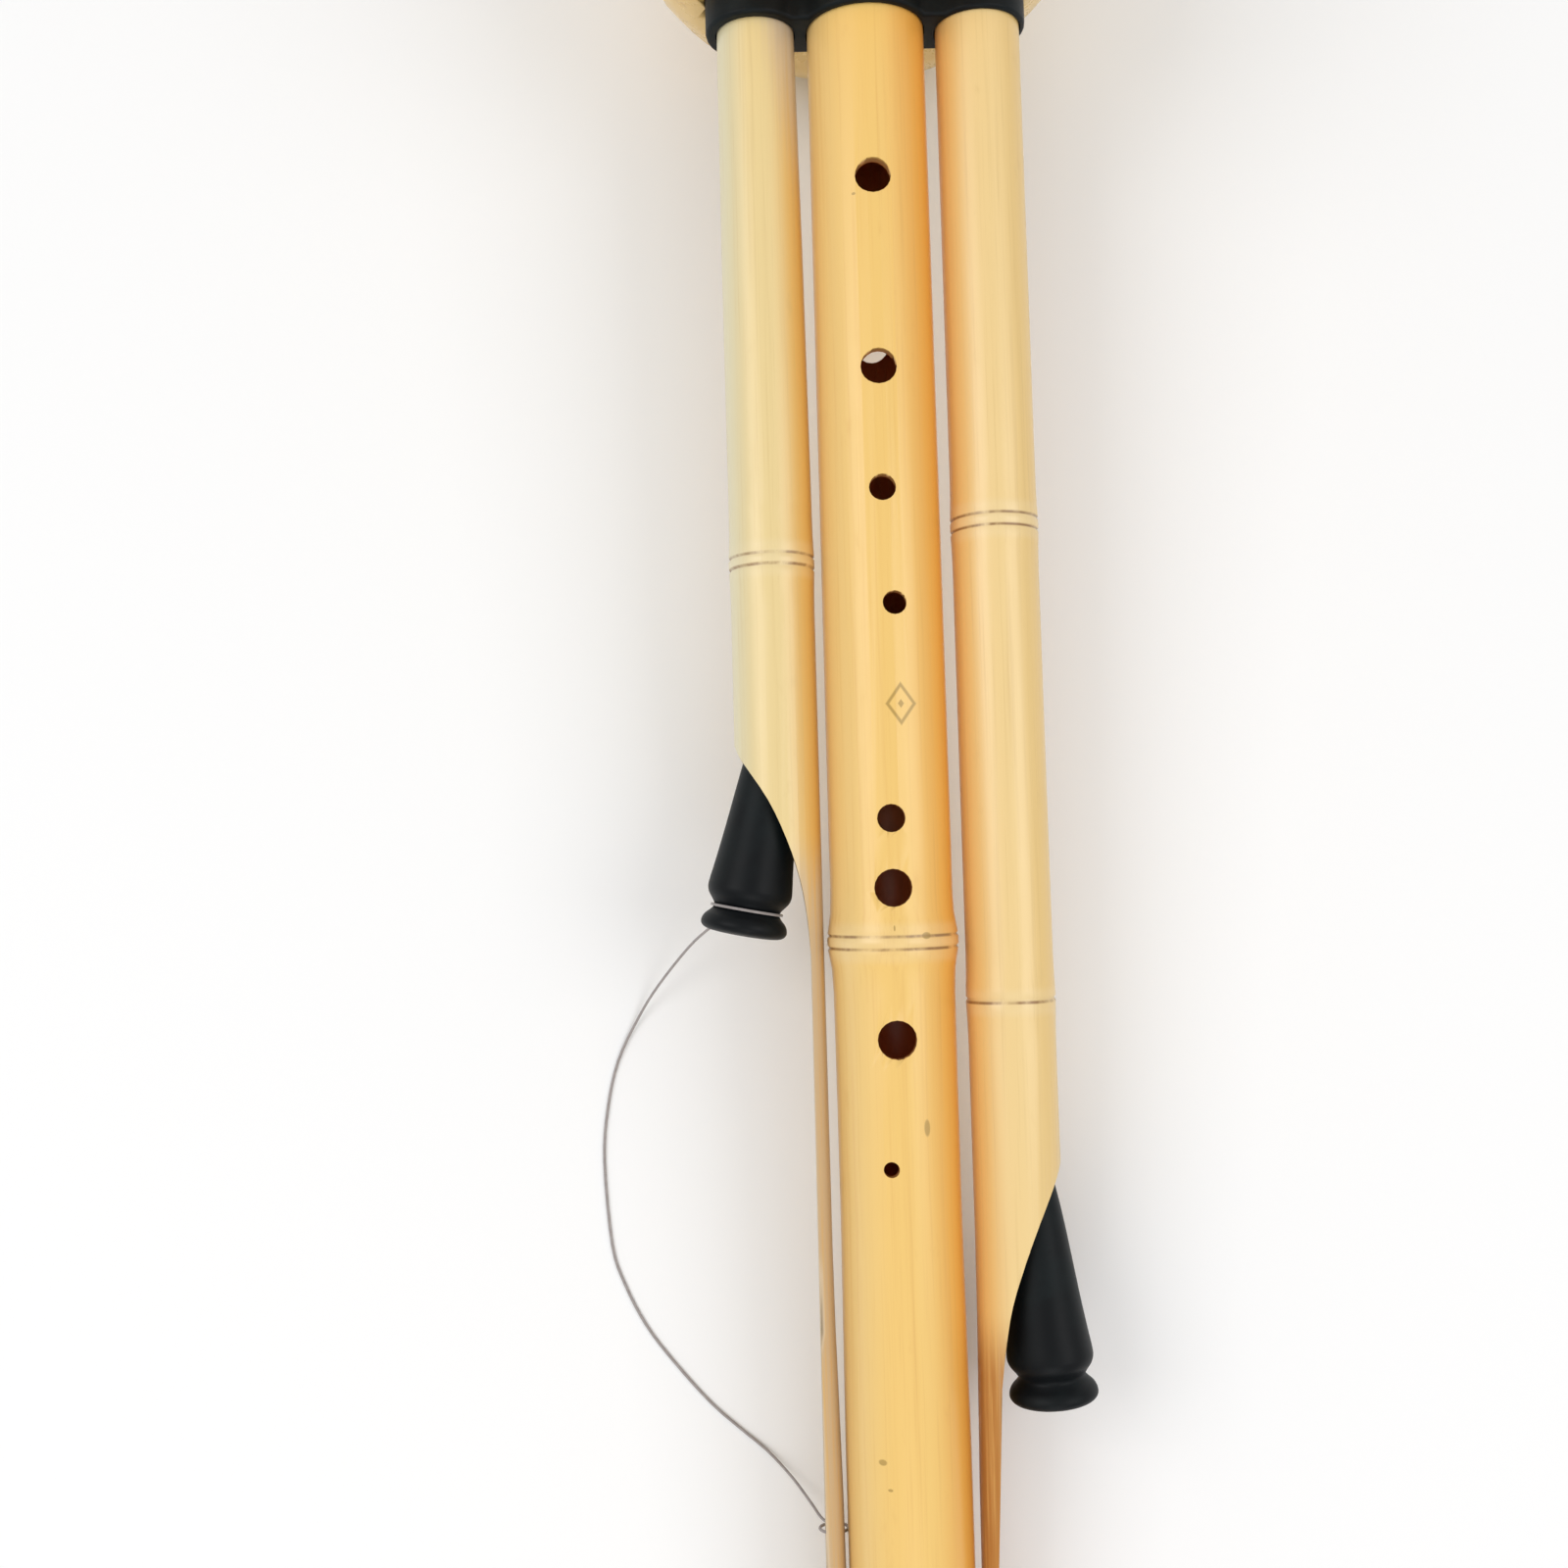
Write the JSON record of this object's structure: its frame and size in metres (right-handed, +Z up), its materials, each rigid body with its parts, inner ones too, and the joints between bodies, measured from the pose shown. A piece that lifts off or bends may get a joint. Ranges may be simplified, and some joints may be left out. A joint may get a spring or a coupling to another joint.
{
  "type": "hulusi gourd flute",
  "caption": "Gourd wind chamber with a bamboo melody pipe between open-sided drone pipes, which pull-out stoppers silence",
  "frame": {"origin": "On the floor under the middle of the instrument, which lies on its back on the gourd's belly and the melody pipe's lower end", "axes": "+Y along the pipes towards the mouthpiece, +Z up and out of the finger holes, +X to the right as seen with the mouthpiece at the top"},
  "size_m": [0.1124, 0.6001, 0.1017],
  "materials": {
    "gourd": "polished pale yellow gourd skin",
    "melody_bamboo": "satin warm yellow bamboo",
    "drone_bamboo": "satin pale bamboo",
    "black_fittings": "satin near-black",
    "wax": "dull brown wax",
    "plugs": "bare cork",
    "reeds": "rolled bronze sheet",
    "cord": "thin grey translucent cord"
  },
  "bodies": {
    "instrument": {"gourd": "gourd", "pipe_seat": "black_fittings", "seat_wax": "wax", "neck_ring": "black_fittings", "mouthpiece": "black_fittings", "melody_pipe": "melody_bamboo", "left_drone_pipe": "drone_bamboo", "right_drone_pipe": "drone_bamboo", "melody_end_plug": "plugs", "left_end_plug": "plugs", "right_end_plug": "plugs", "melody_reed": "reeds", "left_reed": "reeds", "right_reed": "reeds", "melody_reed_wax": "wax", "left_reed_wax": "wax", "right_reed_wax": "wax", "tether_tie": "cord"},
    "left_stopper": {"left_stopper": "black_fittings", "tether_loop": "cord", "tether_cord": "cord"},
    "right_stopper": {"right_stopper": "black_fittings"}
  },
  "joints": [
    {"name": "left_stopper_slide", "type": "slide", "parent": "instrument", "child": "left_stopper", "axis": [-0.1959, -0.9765, -0.0896], "range_m": [0, 0.04]},
    {"name": "right_stopper_slide", "type": "slide", "parent": "instrument", "child": "right_stopper", "axis": [0.075, -0.993, -0.0911], "range_m": [0, 0.03]}
  ]
}
